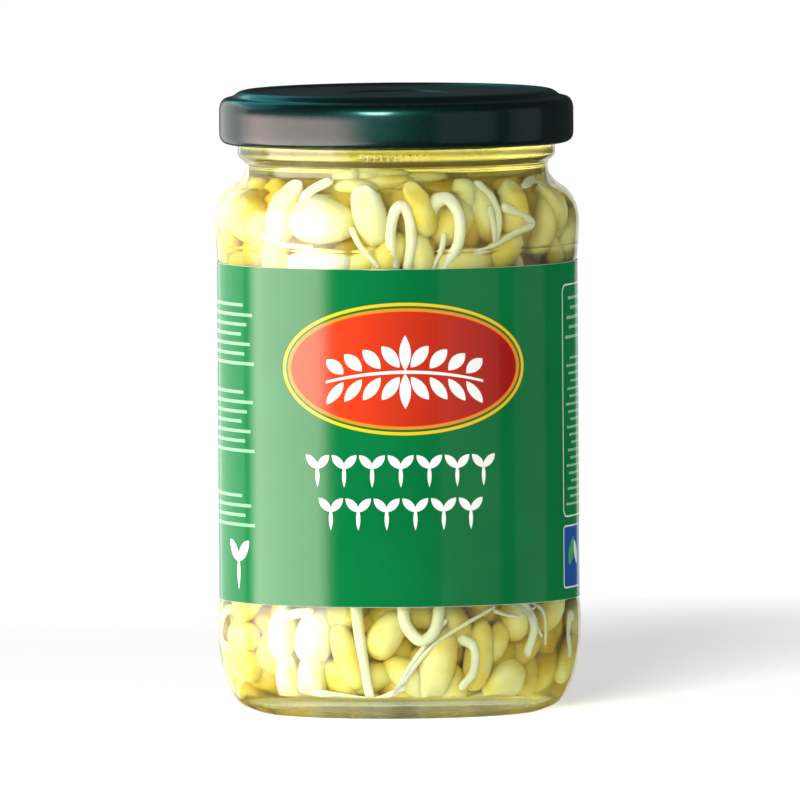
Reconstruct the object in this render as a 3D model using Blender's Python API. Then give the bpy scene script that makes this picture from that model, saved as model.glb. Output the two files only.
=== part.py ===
"""A glass jar of pickled bean sprouts with a twist-off metal lid and a wrap-round paper label.

The jar stands on the XY plane with its axis on Z. Sizes are in millimetres and turned into metres
where a mesh is made. The front of the label faces -Y.
"""

import math
import random

import bmesh
import bpy
from mathutils import Vector

MM = 0.001
AROUND = 32             # sides of everything that is turned
GAP = 0.3               # clearance between pieces that touch on the real jar

LID_RADIUS = 34.6
LID_TOP = 121.3
LID_SHEET = 0.5
LUG_COUNT = 4
LUG_INNER_RADIUS = 31.4

RIM_TOP = 118.95
FINISH_RADIUS = 31.0    # the glass ring that the lid grips
NECK_RADIUS = 29.5
BORE_RADIUS = 27.3
SHOULDER_RADIUS = 35.55
HEEL_RADIUS = 35.45
INNER_RADIUS = 32.3

LABEL_LOW = 22.2
LABEL_HIGH = 88.0
LABEL_RADIUS = 35.35
LABEL_THICK = 0.3
PANEL_RADIUS = LABEL_RADIUS - LABEL_THICK - GAP

BRINE_TOP = 112.0
CORE_RADIUS = 25.5      # the packed middle that the sprouts stand out of
SPROUT_SEED = 20
END_SPROUTS = 5


def curve(knots, steps=2):
    """Points of a smooth line through the knots, with some between each pair."""
    knots = [Vector(knot) for knot in knots]
    ends = [knots[0]] + knots + [knots[-1]]
    points = []
    for a, b, c, d in zip(ends, ends[1:], ends[2:], ends[3:]):
        for step in range(steps):
            t = step / steps
            bend = (2 * a - 5 * b + 4 * c - d) * t * t + (3 * b - a - 3 * c + d) * t * t * t
            points.append((2 * b + (c - a) * t + bend) / 2)
    return points + [knots[-1]]


def material(name, colour, roughness, metallic=0.0, transmission=0.0):
    made = bpy.data.materials.new(name)
    made.use_nodes = True
    shader = made.node_tree.nodes["Principled BSDF"]
    shader.inputs["Base Color"].default_value = (*colour, 1.0)
    shader.inputs["Roughness"].default_value = roughness
    shader.inputs["Metallic"].default_value = metallic
    shader.inputs["Transmission Weight"].default_value = transmission
    made.diffuse_color = (*colour, 1.0)
    return made


def mesh_object(name, points, edges, faces, collection=None):
    mesh = bpy.data.meshes.new(name)
    mesh.from_pydata([Vector(p) * MM for p in points], edges, faces)
    made = bpy.data.objects.new(name, mesh)
    (collection or bpy.context.scene.collection).objects.link(made)
    return made


def turned(name, outline, closed, finish):
    """Turns an outline of (radius, height) round Z. It runs down its outer side."""
    points = [(r, 0.0, z) for r, z in outline]
    edges = [(i, i + 1) for i in range(len(points) - 1)]
    if closed:
        edges.append((len(points) - 1, 0))
    made = mesh_object(name, points, edges, [])
    made.data.materials.append(finish)
    screw = made.modifiers.new("Turn", "SCREW")
    screw.axis = "Z"
    screw.angle = math.tau
    screw.steps = AROUND
    screw.render_steps = AROUND
    screw.use_merge_vertices = True
    screw.merge_threshold = 0.00001
    screw.use_smooth_shade = True
    return made


def helper_collection(name):
    made = bpy.data.collections.new(name)
    bpy.context.scene.collection.children.link(made)
    return made


def largest_shell(mesh):
    """Drops loose scraps and sealed hollows, which fusing can leave, and keeps the one outer skin."""
    work = bmesh.new()
    work.from_mesh(mesh)
    unseen = set(work.faces)
    shells = []
    while unseen:
        shell = {unseen.pop()}
        waiting = list(shell)
        while waiting:
            for edge in waiting.pop().edges:
                if len(edge.link_faces) != 2:
                    continue
                for face in unseen.intersection(edge.link_faces):
                    unseen.discard(face)
                    shell.add(face)
                    waiting.append(face)
        shells.append(shell)
    skin = max(shells, key=len)
    scraps = [face for face in work.faces if face not in skin]
    bmesh.ops.delete(work, geom=scraps, context="FACES")
    kept = bpy.data.meshes.new(mesh.name)
    work.to_mesh(kept)
    work.free()
    return kept


def fused(body, helpers, solver="EXACT"):
    """Joins every helper to the body by one union, applies it and removes the helpers."""
    finish = body.data.materials[0]
    union = body.modifiers.new("Fuse", "BOOLEAN")
    union.operation = "UNION"
    union.operand_type = "COLLECTION"
    union.collection = helpers
    union.solver = solver
    graph = bpy.context.evaluated_depsgraph_get()
    joined = bpy.data.meshes.new_from_object(body.evaluated_get(graph))
    body.modifiers.clear()
    body.data = largest_shell(joined)
    body.data.materials.append(finish)
    for helper in list(helpers.objects):
        bpy.data.objects.remove(helper)
    bpy.data.collections.remove(helpers)


def smooth(body, sharp_degrees):
    body.data.shade_smooth()
    body.data.set_sharp_from_angle(angle=math.radians(sharp_degrees))


def ring_of(centre, along, side, radius, sides):
    """Points of a circle round a path, square to it."""
    side = (side - along * side.dot(along)).normalized()
    other = along.cross(side)
    turns = [math.tau * n / sides for n in range(sides)]
    return side, [centre + (side * math.cos(a) + other * math.sin(a)) * radius for a in turns]


def tube(name, path, radii, sides, collection, fit=None):
    """A closed tube along a path. fit moves the path and then each point, to keep them inside."""
    points = []
    side = Vector((0.31, 0.42, 0.85))
    if fit:
        path = [fit(centre, 0.9 * radius) for centre, radius in zip(path, radii)]
    for i, centre in enumerate(path):
        along = (path[min(i + 1, len(path) - 1)] - path[max(i - 1, 0)]).normalized()
        side, ring = ring_of(centre, along, side, radii[i], sides)
        points += [fit(point) for point in ring] if fit else ring
    faces = [tuple(range(sides))[::-1]]
    for i in range(len(path) - 1):
        for n in range(sides):
            low = i * sides
            following = (n + 1) % sides
            faces.append((low + n, low + following, low + sides + following, low + sides + n))
    last = (len(path) - 1) * sides
    faces.append(tuple(range(last, last + sides)))
    return mesh_object(name, points, [], faces, collection)


def make_glass():
    """The jar itself: a hollow blown from clear glass, with a push-up base and ramps for the lugs."""
    rim = curve([(29.3, RIM_TOP), (30.6, 118.4), (FINISH_RADIUS, 117.2)])
    neck = [(FINISH_RADIUS, 109.0), (30.7, 108.1), (NECK_RADIUS + 0.1, 107.4)]
    shoulder = curve([
        (NECK_RADIUS, 106.4), (30.1, 104.2), (33.6, 101.3), (SHOULDER_RADIUS, 95.8),
        (35.2, LABEL_HIGH + 0.9),
    ])
    panel = [(PANEL_RADIUS, LABEL_HIGH + 0.4), (PANEL_RADIUS, LABEL_LOW - 0.4)]
    heel = curve([
        (35.2, LABEL_LOW - 1.1), (HEEL_RADIUS, 16.8), (34.4, 7.7), (31.4, 1.75), (27.8, 0.0),
    ])
    base = [(25.6, 0.0), (24.4, 0.8), (17.0, 1.8), (0.0, 2.2)]
    inside = [(0.0, 4.6), (14.0, 4.3), (24.5, 3.5)]
    inside += curve([(28.4, 4.0), (31.0, 6.7), (32.2, 11.0), (INNER_RADIUS, 20.0)])
    inside += curve([(INNER_RADIUS, 90.0), (33.0, 95.6), (30.6, 101.0), (BORE_RADIUS, 106.0)])
    inside += [(BORE_RADIUS, 116.6), (28.0, 118.4)]
    glass = material("clear_glass", (0.86, 0.92, 0.84), 0.04, transmission=1.0)
    jar = turned("glass_jar", rim + neck + shoulder + panel + heel + base + inside, True, glass)

    ramps = helper_collection("ramps")
    ramp_steps = 5
    for start in range(LUG_COUNT):
        path = []
        for step in range(ramp_steps + 1):
            share = step / ramp_steps
            angle = math.tau * start / LUG_COUNT + math.radians(18 + 62 * share)
            level = 113.6 + 1.8 * share
            path.append(Vector((31.2 * math.cos(angle), 31.2 * math.sin(angle), level)))
        radii = [0.4] + [1.0] * (ramp_steps - 1) + [0.4]
        tube(f"ramp_{start}", path, radii, 5, ramps)
    fused(jar, ramps)
    smooth(jar, 40)
    return jar


def make_lid():
    """A pressed steel lid: a flat panel inside a raised rim, a step, a skirt and a rolled edge."""
    top = [(0.0, 120.4), (9.5, 120.4), (10.6, 120.8), (27.6, 120.8), (28.7, LID_TOP - 0.05)]
    top += curve([(29.9, LID_TOP), (31.2, 121.05), (32.2, 120.2), (33.2, 119.85)])
    skirt = curve([(34.1, 119.35), (34.5, 118.4), (LID_RADIUS, 117.2)])
    edge = [
        (LID_RADIUS, 113.1), (34.35, 111.8), (33.5, 111.1), (32.3, 111.05), (32.15, 112.0),
        (33.2, 112.6),
    ]
    inner = LID_RADIUS - LID_SHEET
    under = [(inner, 113.2), (inner, 117.2), (33.6, 118.8), (32.4, 119.4), (31.6, 120.1)]
    under += [(30.6, 120.7), (29.0, 120.7), (28.2, 120.3), (10.9, 120.3), (9.8, 119.9)]
    under += [(0.0, 119.9)]
    enamel = material("dark_teal_enamel", (0.012, 0.045, 0.05), 0.3, metallic=0.6)
    lid = turned("lid", top + skirt + edge + under, False, enamel)

    lugs = helper_collection("lugs")
    lug_steps = 3
    for number in range(LUG_COUNT):
        middle = math.tau * (number + 0.5) / LUG_COUNT
        path = []
        for step in range(lug_steps + 1):
            angle = middle + math.radians(16) * (step / lug_steps - 0.5)
            reach = LUG_INNER_RADIUS + 0.75
            path.append(Vector((reach * math.cos(angle), reach * math.sin(angle), 111.65)))
        tube(f"lug_{number}", path, [0.45, 0.7, 0.7, 0.45], 6, lugs)
    fused(lid, lugs)
    smooth(lid, 40)
    return lid


def make_seal():
    """The soft ring inside the lid that the glass rim presses into."""
    low = RIM_TOP + GAP
    high = 120.4
    outline = [(30.4, high), (31.0, low), (28.4, low), (28.9, high)]
    compound = material("sealing_compound", (0.75, 0.72, 0.66), 0.55)
    return turned("lid_seal", outline, True, compound)


def make_label():
    """One strip of paper wrapped round the jar, its ends lapped at the back."""
    lap_thick = 0.2
    lap_half = 2         # sides of the turned ring that the lap covers, each way from the back
    paper = material("printed_paper", (0.012, 0.24, 0.06), 0.35)
    back = AROUND // 4
    points = []
    for number in range(AROUND):
        turn = math.tau * number / AROUND
        in_lap = abs(number - back) <= lap_half
        outer = LABEL_RADIUS + (lap_thick if in_lap else 0.0)
        inner = LABEL_RADIUS - LABEL_THICK
        for radius in (inner, outer):
            for level in (LABEL_LOW, LABEL_HIGH):
                points.append((radius * math.cos(turn), radius * math.sin(turn), level))
    faces = []
    for number in range(AROUND):
        here = 4 * number
        after = 4 * ((number + 1) % AROUND)
        inner_low, inner_high, outer_low, outer_high = range(4)
        for first, second in (
            (outer_low, outer_high), (outer_high, inner_high),
            (inner_high, inner_low), (inner_low, outer_low),
        ):
            faces.append((here + first, after + first, after + second, here + second))
    label = mesh_object("label", points, [], faces)
    label.data.materials.append(paper)
    smooth(label, 30)
    return label


HOLLOW = [(28.5, 5.0), (31.2, 11.2), (31.2, 96.6), (28.6, 101.2), (24.0, 102.8)]


def make_brine():
    """The pickling brine up to its level in the neck. The sprouts stand in a plain hollow in it."""
    neck = BORE_RADIUS - GAP - 0.05
    wall = INNER_RADIUS - GAP - 0.05
    outline = [(0.0, BRINE_TOP), (neck, BRINE_TOP), (neck, 106.0), (30.1, 100.7), (32.6, 95.6)]
    outline += [(wall, 90.0), (wall, 20.0), (31.85, 11.3), (28.9, 4.8)]
    outline += HOLLOW + [(0.0, 103.2)]
    water = material("brine", (0.9, 0.82, 0.35), 0.02, transmission=1.0)
    return turned("brine", outline, False, water)


def hollow_radius(level):
    """How far from the axis the hollow in the brine reaches at a level, less a clearance."""
    clearance = GAP + 0.12
    for (r0, z0), (r1, z1) in zip(HOLLOW, HOLLOW[1:]):
        if level <= z1:
            share = (level - z0) / (z1 - z0)
            return r0 + (r1 - r0) * share - clearance
    return HOLLOW[-1][0] - clearance


def kept_inside(low, high, press):
    """A function that presses a point back inside the hollow, between two levels.

    press moves the limits in a little, so that no two sprouts are pressed to the same surface.
    """
    def fit(point, margin=0.0):
        inset = press + margin
        level = min(max(point.z, low + inset), high - inset)
        reach = math.hypot(point.x, point.y)
        limit = hollow_radius(level) - inset
        scale = min(1.0, limit / reach) if reach else 1.0
        return Vector((point.x * scale, point.y * scale, level))
    return fit


def wall_place(angle, level):
    """Maps (round, up, out) in mm to a place on the round side of the packed middle."""
    def place(along, up, out):
        turn = angle + along / CORE_RADIUS
        reach = CORE_RADIUS + out
        return Vector((reach * math.cos(turn), reach * math.sin(turn), level + up))
    return place


def end_place(x, y, level, up_sign):
    """Maps (x, y, out) in mm to a place on the flat top or bottom of the packed middle."""
    def place(along, across, out):
        return Vector((x + along, y + across * up_sign, level + out * up_sign))
    return place


def turned_place(place, heading):
    """Turns the first two directions of a place by a heading."""
    c, s = math.cos(heading), math.sin(heading)
    return lambda a, b, out: place(a * c - b * s, a * s + b * c, out)


def seed_leaves(name, place, size, collection, fit, around=6, rings=4):
    """The fat pair of seed leaves at the head of a sprout, as one bean-shaped body."""
    length, width, depth = 4.7 * size, 2.9 * size, 2.7 * size
    rise = depth - 0.9
    tips = [place(-length, 0.0, rise), place(length, 0.0, rise)]
    shift = sum((fit(tip, 0.6) - tip for tip in tips), Vector())
    points = [fit(tips[0] + shift)]
    for ring in range(1, rings):
        angle = math.pi * ring / rings
        blunt = math.copysign(abs(math.cos(angle)) ** 0.65, math.cos(angle))
        for n in range(around):
            turn = math.tau * n / around
            across = width * math.sin(angle) * math.cos(turn)
            bow = 0.7 * math.sin(angle)
            out = rise + depth * math.sin(angle) * math.sin(turn)
            points.append(fit(place(-length * blunt, across + bow, out) + shift))
    points.append(fit(tips[1] + shift))
    last = len(points) - 1
    faces = []
    for n in range(around):
        following = (n + 1) % around
        faces.append((0, 1 + following, 1 + n))
        for ring in range(rings - 2):
            low = 1 + ring * around
            faces.append((low + n, low + following, low + around + following, low + around + n))
        low = 1 + (rings - 2) * around
        faces.append((low + n, low + following, last))
    mesh_object(name, points, [], faces, collection)
    return shift


def hooked_sprout(name, place, size, collection, fit):
    """Seed leaves on a stem that hooks round and dives back among the others."""
    shift = seed_leaves(name + "_leaves", place, size, collection, fit)
    way = [
        (2.4, 0.0, 1.6), (7.2, 0.9, 2.9), (9.2, 4.0, 3.0), (6.8, 7.4, 2.0), (3.6, 7.6, -3.2),
    ]
    path = [place(a * size, b * size, out) for a, b, out in way]
    path[0] += shift
    path[1] += shift
    tube(name + "_stem", path, [1.1, 1.3, 1.35, 1.3, 1.0], 4, collection, fit)


def long_root(name, place, length, collection, fit):
    """A stem that lies along the glass and thins to a root, both its ends down in the pack."""
    steps = 6
    path = []
    radii = []
    for step in range(steps + 1):
        share = step / steps
        lift = 3.6 * math.sin(math.pi * share) ** 0.5 if 0 < step < steps else 0.0
        sway = 3.0 * math.sin(2.6 * math.pi * share)
        path.append(place(length * (share - 0.5), sway, lift - 1.2))
        radii.append(1.2 - 0.65 * share)
    tube(name, path, radii, 4, collection, fit)


def packed_middle(name, low, high, finish):
    """The plain middle of a tier, a drum with eased ends, which the sprouts cover."""
    sides = 16
    ease = 2.5
    points = []
    for level, radius in (
        (low, CORE_RADIUS - 5.0), (low + ease, CORE_RADIUS),
        (high - ease, CORE_RADIUS), (high, CORE_RADIUS - 5.0),
    ):
        for n in range(sides):
            turn = math.tau * n / sides
            points.append((radius * math.cos(turn), radius * math.sin(turn), level))
    faces = [tuple(range(sides))[::-1], tuple(range(3 * sides, 4 * sides))]
    for ring in range(3):
        for n in range(sides):
            following = (n + 1) % sides
            base = ring * sides
            faces.append((base + n, base + following, base + sides + following, base + sides + n))
    pack = mesh_object(name, points, [], faces)
    pack.data.materials.append(finish)
    return pack


def bean_rows(low, high, around, draw):
    """Places for beans pressed close on the round side of a tier, in staggered rows."""
    row_height = 9.0
    rows = max(1, round((high - low) / row_height))
    for row in range(rows):
        for n in range(around):
            turn = math.tau * (n + 0.5 * (row % 2) + draw.uniform(-0.22, 0.22)) / around
            level = low + (high - low) * (row + 0.5 + draw.uniform(-0.2, 0.2)) / rows
            yield turned_place(wall_place(turn, level), draw.uniform(0, math.pi))


def make_sprouts(name, low, high, around, hooked, roots, ends, seed):
    """One tier of the packed sprouts: a smaller middle and the sprouts that stand out of it."""
    draw = random.Random(seed)
    finish = material(name + "_flesh", (0.88, 0.80, 0.42), 0.4)
    core_low = low + (3.2 if ends == "below" else 0.4)
    core_high = high - (3.2 if ends == "above" else 0.4)
    pack = packed_middle(name, core_low, core_high, finish)

    pieces = helper_collection(name + "_pieces")
    for n, place in enumerate(bean_rows(core_low + 1.0, core_high - 1.0, around, draw)):
        fit = kept_inside(low, high, draw.uniform(0.0, 0.4))
        seed_leaves(f"{name}_bean_{n}", place, 1.3, pieces, fit, around=5, rings=3)
    golden = math.pi * (3 - math.sqrt(5))
    spin = draw.uniform(0, math.tau)
    for n in range(hooked):
        level = core_low + 3.0 + (core_high - core_low - 6.0) * (n + 0.5) / hooked
        place = wall_place(spin + n * golden, level)
        place = turned_place(place, draw.uniform(0, math.tau))
        size = draw.uniform(0.85, 1.1)
        fit = kept_inside(low, high, draw.uniform(0.0, 0.4))
        hooked_sprout(f"{name}_{n}", place, size, pieces, fit)
    for n in range(roots):
        level = core_low + 3.0 + (core_high - core_low - 6.0) * (n + 0.5) / roots
        place = wall_place(spin + 1.0 + n * golden, level)
        place = turned_place(place, draw.uniform(-0.7, 0.7))
        length = draw.uniform(17, 24)
        fit = kept_inside(low, high, draw.uniform(0.0, 0.4))
        long_root(f"{name}_root_{n}", place, length, pieces, fit)
    if ends != "none":
        face_level = core_low if ends == "below" else core_high
        up_sign = -1 if ends == "below" else 1
        for n in range(END_SPROUTS):
            reach = 0.0 if n == 0 else 15.5
            turn = spin + math.tau * n / (END_SPROUTS - 1)
            place = end_place(reach * math.cos(turn), reach * math.sin(turn), face_level, up_sign)
            place = turned_place(place, draw.uniform(0, math.tau))
            fit = kept_inside(low, high, draw.uniform(0.0, 0.4))
            hooked_sprout(f"{name}_end_{n}", place, 0.95, pieces, fit)
    fused(pack, pieces, "MANIFOLD")
    smooth(pack, 50)
    return pack


for startup_object in list(bpy.data.objects):
    bpy.data.objects.remove(startup_object)

make_glass()
make_lid()
make_seal()
make_label()
make_brine()
make_sprouts("sprouts_bottom", 5.2, 25.0, 7, 11, 6, "below", SPROUT_SEED)
make_sprouts("sprouts_middle", 25.3, 84.7, 9, 6, 3, "none", SPROUT_SEED + 1)
make_sprouts("sprouts_top", 85.0, 102.3, 9, 11, 5, "above", SPROUT_SEED + 2)
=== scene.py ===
"""Jar of bean sprouts: looks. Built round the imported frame, in millimetres turned to metres."""
import math
import random

import bmesh
import bpy
from mathutils import Euler, Matrix, Vector


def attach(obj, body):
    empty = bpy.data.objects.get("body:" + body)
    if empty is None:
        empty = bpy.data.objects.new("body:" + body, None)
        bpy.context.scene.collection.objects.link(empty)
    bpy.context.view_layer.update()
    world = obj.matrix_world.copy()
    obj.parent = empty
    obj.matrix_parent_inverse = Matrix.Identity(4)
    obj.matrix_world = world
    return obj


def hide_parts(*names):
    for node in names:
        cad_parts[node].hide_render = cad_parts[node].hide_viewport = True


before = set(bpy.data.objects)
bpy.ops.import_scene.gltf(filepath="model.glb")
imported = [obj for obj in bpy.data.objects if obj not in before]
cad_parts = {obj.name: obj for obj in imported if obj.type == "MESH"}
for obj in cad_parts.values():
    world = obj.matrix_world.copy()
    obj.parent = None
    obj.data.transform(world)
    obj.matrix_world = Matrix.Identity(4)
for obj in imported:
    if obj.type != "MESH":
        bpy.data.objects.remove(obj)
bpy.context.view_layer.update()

# The view: a very long lens almost level with the jar, which leans a little to the left in it.
# Sizes in the whole script are in millimetres, and MM turns them into metres.
MM = 0.001
IMAGE_WIDTH_MM = 156.25
SENSOR_MM = 36.0
LENS_MM = 1500.0
CAMERA_RISE = math.radians(3.25)
CAMERA_ROLL = math.radians(-0.4)
AIM = Vector((0.35, 0.0, 60.6)) * MM

distance = LENS_MM / SENSOR_MM * IMAGE_WIDTH_MM * MM
camera_data = bpy.data.cameras.new("camera")
camera_data.lens = LENS_MM
camera_data.sensor_width = SENSOR_MM
camera_data.clip_end = 100.0
camera = bpy.data.objects.new("camera", camera_data)
bpy.context.scene.collection.objects.link(camera)
camera.rotation_euler = (
    Euler((math.pi / 2 - CAMERA_RISE, 0, 0)).to_matrix() @ Matrix.Rotation(CAMERA_ROLL, 3, "Z")
).to_euler()
camera.location = AIM + distance * Vector((0, -math.cos(CAMERA_RISE), math.sin(CAMERA_RISE)))
bpy.context.scene.camera = camera
bpy.context.scene.view_settings.view_transform = "Standard"


# The studio: a white table that runs out to a white surround, a tall softbox on the left, weak
# strips on the right and behind, and lamps above the camera. Light linking gives the table, the
# glass and the lid lamps of their own. The table's own throws the shadow back to the right.
def linear(code):
    """An sRGB hex colour as linear RGBA."""
    channels = [int(code[i:i + 2], 16) / 255 for i in (1, 3, 5)]
    curved = [c / 12.92 if c <= 0.04045 else ((c + 0.055) / 1.055) ** 2.4 for c in channels]
    return (*curved, 1.0)


sums = {}


def add(tree, kind, settings=None, **inputs):
    """Adds a node. An input, by name or by in_NUMBER, is a value, an output, a node for its first
    output, or a sum such as ("ADD", a, b) of such terms. The setting stops colours a ramp."""
    made = tree.nodes.new(kind)
    for name, value in (settings or {}).items():
        if name == "stops":
            for stop, (share, colour) in zip(made.color_ramp.elements, value):
                stop.position = share
                stop.color = linear(colour)
        else:
            setattr(made, name, value)
    for name, value in inputs.items():
        if name.startswith("in_"):
            socket = made.inputs[int(name[3:])]
        else:
            socket = made.inputs[name.replace("_", " ")]
        if isinstance(value, tuple) and isinstance(value[0], str):
            if value not in sums:
                terms = {f"in_{n}": term for n, term in enumerate(value[1:])}
                sums[value] = add(tree, "ShaderNodeMath", {"operation": value[0]}, **terms)
            value = sums[value]
        if isinstance(value, bpy.types.Node):
            value = value.outputs[0]
        if isinstance(value, bpy.types.NodeSocket):
            tree.links.new(value, socket)
        else:
            socket.default_value = value
    return made


def new_material(name):
    """An empty node material and its tree."""
    made = bpy.data.materials.new(name)
    made.use_nodes = True
    made.node_tree.nodes.clear()
    return made, made.node_tree


def only_bounced(tree):
    """A light path node, and 1 for rays that leave a shiny surface and don't go through glass."""
    path = add(tree, "ShaderNodeLightPath")
    shiny = path.outputs["Is Glossy Ray"]
    return path, ("MAXIMUM", ("SUBTRACT", shiny, path.outputs["Is Transmission Ray"]), 0.0)


def placed(name, data, *materials):
    """An object at the origin that holds a lamp, or a mesh and its materials."""
    made = bpy.data.objects.new(name, data)
    bpy.context.scene.collection.objects.link(made)
    for finish in materials:
        data.materials.append(finish)
    return made


def spot(azimuth, radius, level):
    """The point at an azimuth right of the front, a radius and a level."""
    return Vector((radius * math.sin(azimuth), -radius * math.cos(azimuth), level))


def softbox(name, azimuth, rise, reach, width, height, strength, colour="#ffffff"):
    """A flat lamp facing the jar. The azimuth is in degrees right of the camera."""
    lamp = bpy.data.lights.new(name, "AREA")
    lamp.shape = "RECTANGLE"
    lamp.size = width
    lamp.size_y = height
    lamp.color = linear(colour)[:3]
    lamp.energy = strength * width * height * math.pi
    made = placed(name, lamp)
    tilt = math.radians(rise)
    away = spot(math.radians(azimuth), math.cos(tilt), math.sin(tilt))
    made.location = Vector((0, 0, 0.06)) + away * reach
    made.rotation_euler = away.to_track_quat("Z", "Y").to_euler()
    made.visible_camera = False
    return made


# Each has azimuth and rise in degrees, reach, width and height in metres, strength, colour.
key = softbox("key_softbox", -75, 0, 0.4, 0.58, 0.54, 7.0, "#fff4e8")
back = softbox("left_back_softbox", -137, 4, 0.5, 0.44, 0.5, 1.0)
near = softbox("right_strip", 46, 2, 0.6, 0.44, 0.5, 0.34)
side = softbox("right_side_strip", 92, 2, 0.6, 0.3, 0.5, 0.28)
rim_light = softbox("rim_panel", 180, 2, 0.7, 0.6, 0.5, 0.7)
rim_light.visible_transmission = False
front = softbox("front_lamp", -13, 18, 2.5, 0.6, 0.6, 16.5)
table_lamp = softbox("table_lamp", -13, 18, 2.5, 0.8, 0.8, 31.0)
glass_strip = softbox("glass_strip", -42, 0, 0.4, 0.12, 0.5, 2.6)
lid_lamp = softbox("lid_lamp", -14, 24, 2.0, 0.7, 0.5, 30.0, "#8ceee2")
lid_back_lamp = softbox("lid_back_lamp", -135, 35, 0.9, 1.1, 0.4, 1.35, "#3fc4cf")
lid_key = softbox("lid_key_softbox", -70, -16.4, 0.5, 1.46, 0.435, 8.4, "#ffd4d3")

# The key softboxes are bright in their middle and dim toward their edges, over these shares of
# their width and height. The lid's own ends below its top, so that only the skirt catches it.
EDGE_GLOW = 0.04
for lamp, side_share, end_share in ((key, 0.22, 0.25), (lid_key, 0.35, 0.045)):
    lamp.data.use_nodes = True
    tree = lamp.data.node_tree
    spread = add(tree, "ShaderNodeNewGeometry")
    share = add(tree, "ShaderNodeSeparateXYZ", Vector=spread.outputs["Parametric"])
    across, up = [
        add(
            tree, "ShaderNodeMapRange", {"interpolation_type": "SMOOTHSTEP"},
            Value=("PINGPONG", share.outputs[axis], 0.5), From_Min=0.02, From_Max=high,
            To_Min=EDGE_GLOW, To_Max=1.0,
        )
        for axis, high in ((0, side_share), (1, end_share))
    ]
    glow = add(tree, "ShaderNodeEmission", Strength=("MULTIPLY", across, up))
    tree.links.new(glow.outputs[0], tree.nodes["Light Output"].inputs[0])

# The surround is white where it is seen, brighter through the glass, nearly dark in reflections,
# and a weak light that is lower overhead than at the level of the table.
WORLD_SEEN = 1.02
WORLD_IN_GLASS = 2.4
WORLD_REFLECTED = 0.03
WORLD_LOW = 0.31
WORLD_HIGH = 0.15
world = bpy.data.worlds.new("surround")
bpy.context.scene.world = world
world.use_nodes = True
tree = world.node_tree
tree.nodes.clear()
path, bounced = only_bounced(tree)
way = add(tree, "ShaderNodeTexCoord")
height = add(tree, "ShaderNodeSeparateXYZ", Vector=way.outputs["Generated"])
fill = add(
    tree, "ShaderNodeMapRange", Value=height.outputs[2], From_Min=0.0, From_Max=1.0,
    To_Min=WORLD_LOW, To_Max=WORLD_HIGH,
)
through = add(
    tree, "ShaderNodeMix", in_0=path.outputs["Is Transmission Ray"], in_2=WORLD_SEEN,
    in_3=WORLD_IN_GLASS,
)
seen = add(tree, "ShaderNodeMix", in_0=path.outputs["Diffuse Depth"], in_2=through, in_3=fill)
strength = add(tree, "ShaderNodeMix", in_0=bounced, in_2=seen, in_3=WORLD_REFLECTED)
light = add(tree, "ShaderNodeBackground", Color=(1, 1, 1, 1), Strength=strength)
add(tree, "ShaderNodeOutputWorld", Surface=light)

# The table is matt white, with a glow that makes it as white as the surround farther out. It is
# left out of reflections.
TABLE_RADIUS = 0.62
GLOW_FROM, GLOW_TO = 0.2, 0.6
GLOW_NEAR, GLOW_FAR = 0.46, 1.0
table_finish, tree = new_material("white_table")
path, bounced = only_bounced(tree)
white = add(tree, "ShaderNodeBsdfDiffuse", Color=linear("#f2f2f2"))
place = add(tree, "ShaderNodeTexCoord")
away = add(
    tree, "ShaderNodeVectorMath", {"operation": "LENGTH"}, in_0=place.outputs["Object"],
)
far = add(
    tree, "ShaderNodeMapRange", {"interpolation_type": "SMOOTHSTEP"},
    Value=away.outputs["Value"], From_Min=GLOW_FROM, From_Max=GLOW_TO, To_Min=GLOW_NEAR,
    To_Max=GLOW_FAR,
)
glow = add(tree, "ShaderNodeEmission", Strength=far)
lit = add(tree, "ShaderNodeAddShader", in_0=white, in_1=glow)
clear = add(tree, "ShaderNodeBsdfTransparent")
table_shader = add(tree, "ShaderNodeMixShader", in_0=bounced, in_1=lit, in_2=clear)
add(tree, "ShaderNodeOutputMaterial", Surface=table_shader)
table_mesh = bpy.data.meshes.new("table")
grid = bmesh.new()
bmesh.ops.create_circle(grid, cap_ends=True, segments=96, radius=TABLE_RADIUS)
grid.to_mesh(table_mesh)
grid.free()
table = placed("table", table_mesh, table_finish)
table.visible_shadow = False


def aim_light(lamp, thing, state):
    """Keeps a lamp off a thing, or on it alone."""
    chosen = lamp.light_linking.receiver_collection or bpy.data.collections.new(lamp.name + "_lights")
    lamp.light_linking.receiver_collection = chosen
    chosen.objects.link(thing)
    chosen.collection_objects[-1].light_linking.link_state = state


for lamp in (key, back, near, side, rim_light):
    aim_light(lamp, table, "EXCLUDE")
aim_light(table_lamp, table, "INCLUDE")


# The jar: moulded clear soda-lime glass about 2.5 mm thick, with a push-up base. It is one turned
# wall with the lug ramps and a row of ribs raised from it. The faces wet by brine bend light less.
GLASS_IOR = 1.52
BRINE_IOR = 1.34
BRINE_LEVEL = 112.0
BORE = 27.3
INNER = 32.3
LABEL_LOW = 22.2
LABEL_HIGH = 88.0
PANEL = 35.0
AROUND = 192


def curve(knots, steps):
    """Points of a smooth line through the knots, with some between each pair."""
    knots = [Vector(knot) for knot in knots]
    ends = [2 * knots[0] - knots[1]] + knots + [2 * knots[-1] - knots[-2]]
    points = []
    for a, b, c, d in zip(ends, ends[1:], ends[2:], ends[3:]):
        for step in range(steps):
            t = step / steps
            bend = (2 * a - 5 * b + 4 * c - d) * t * t + (3 * b - a - 3 * c + d) * t * t * t
            points.append((2 * b + (c - a) * t + bend) / 2)
    return points + [knots[-1]]


def smooth_face(mesh, *corners):
    """A face from corners of which some may be the same, unless fewer than three are left."""
    corners = list(dict.fromkeys(corners))
    if len(corners) < 3:
        return None
    face = mesh.faces.new(corners)
    face.smooth = True
    return face


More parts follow.
